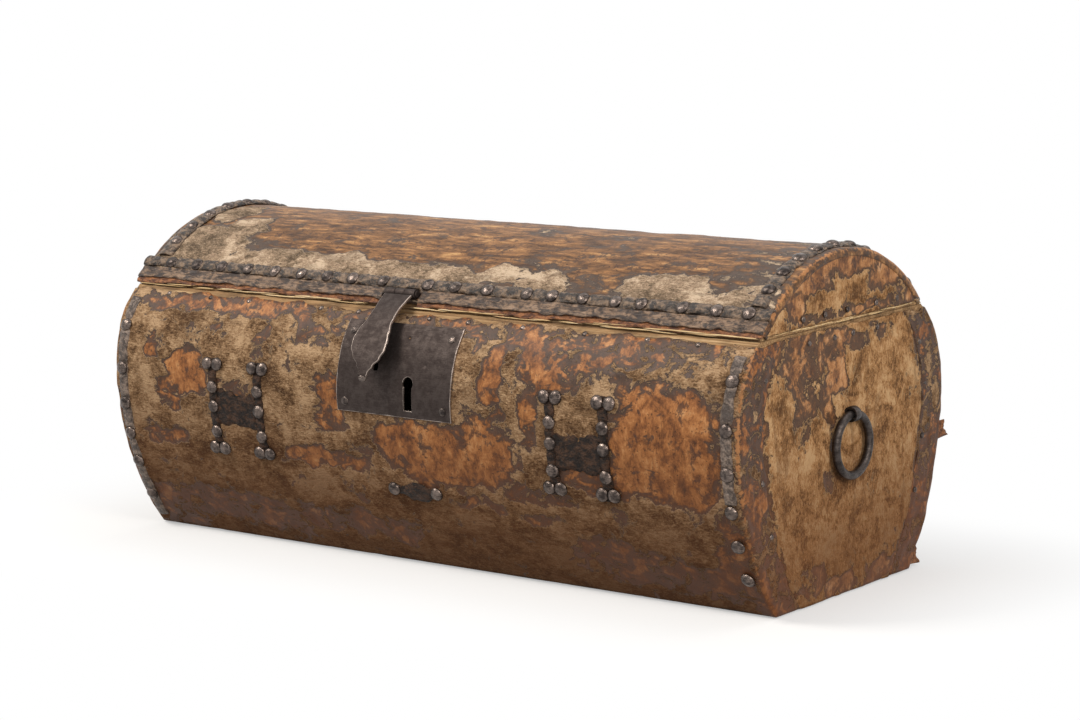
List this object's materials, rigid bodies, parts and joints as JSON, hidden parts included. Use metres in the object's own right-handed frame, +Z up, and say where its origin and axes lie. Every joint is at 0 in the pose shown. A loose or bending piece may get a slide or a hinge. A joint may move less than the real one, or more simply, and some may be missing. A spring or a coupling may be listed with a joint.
{
  "type": "hide-covered travel box",
  "caption": "Long low barrel-lidded travel box of thin boards covered in hide, with domed nails, a hasp lock, end rings and a hinged lid",
  "frame": {"origin": "on the floor, under the middle of the box", "axes": "+X along the length to the viewer's right when facing the lock, -Y out of the front where the lock is, +Z up"},
  "size_m": [0.7902, 0.3778, 0.3256],
  "materials": {
    "hide": "short mottled hair, worn bald in places",
    "strap_leather": "dry, cracked",
    "board": "raw, unplaned",
    "nail_iron": "dark, worn",
    "plate_iron": "pitted sheet",
    "ring_iron": "forged, dark"
  },
  "bodies": {
    "box": {"back_edge_strips": "strap_leather", "back_hide": "hide", "back_lower_stave": "board", "back_middle_stave": "board", "back_upper_stave": "board", "body_edge_nails": "nail_iron", "body_iron_nails": "nail_iron", "body_tacks": "nail_iron", "bolt_spring": "plate_iron", "bottom_board": "board", "bottom_hide": "hide", "end_board_left": "board", "end_board_right": "board", "end_hide_left": "hide", "end_hide_right": "hide", "front_edge_strips": "strap_leather", "front_hide": "hide", "front_lower_stave": "board", "front_middle_stave": "board", "front_upper_stave": "board", "hinge_body_leaf_left": "plate_iron", "hinge_body_leaf_right": "plate_iron", "hinge_pins": "plate_iron", "keeper_nails": "nail_iron", "keeper_patches": "strap_leather", "keeper_strips": "strap_leather", "lock_case": "plate_iron", "lock_plate": "plate_iron", "ring_staple_left": "ring_iron", "ring_staple_right": "ring_iron", "strap_scrap": "strap_leather", "tab_nails": "nail_iron"},
    "lid": {"lid_edge_nails": "nail_iron", "lid_arch_nails": "nail_iron", "lid_end_tacks": "nail_iron", "lid_iron_nails": "nail_iron", "lid_end_board_left": "board", "lid_end_board_right": "board", "lid_front_stave": "board", "lid_front_top_stave": "board", "lid_top_stave": "board", "lid_back_top_stave": "board", "lid_back_stave": "board", "lid_hide": "hide", "lid_end_hide_left": "hide", "lid_end_hide_right": "hide", "lid_front_strip": "strap_leather", "lid_back_strip": "strap_leather", "lid_arch_strip_left": "strap_leather", "lid_arch_strip_right": "strap_leather", "hasp_leaf": "plate_iron", "hasp_pin": "plate_iron", "hinge_lid_leaf_left": "plate_iron", "hinge_lid_leaf_right": "plate_iron"},
    "hasp": {"hasp": "plate_iron"},
    "lock_bolt": {"lock_bolt": "plate_iron"},
    "ring_left": {"ring_left": "ring_iron"},
    "ring_right": {"ring_right": "ring_iron"}
  },
  "joints": [
    {"name": "lid_hinge", "type": "hinge", "parent": "box", "child": "lid", "pos_m": [0, 0.14863, 0.252], "axis": [-1, 0, 0], "range_deg": [0, 105]},
    {"name": "hasp_hinge", "type": "hinge", "parent": "lid", "child": "hasp", "pos_m": [-0.033, -0.13283, 0.266], "axis": [-1, 0, 0], "range_deg": [-8.5, 135]},
    {"name": "bolt_slide", "type": "slide", "parent": "box", "child": "lock_bolt", "axis": [-1, 0, 0], "range_m": [0, 0.014]},
    {"name": "ring_left_swing", "type": "hinge", "parent": "box", "child": "ring_left", "pos_m": [-0.3877, 0, 0.1685], "axis": [0, 1, 0], "range_deg": [0, 165]},
    {"name": "ring_right_swing", "type": "hinge", "parent": "box", "child": "ring_right", "pos_m": [0.3877, 0, 0.1685], "axis": [0, -1, 0], "range_deg": [0, 165]}
  ]
}
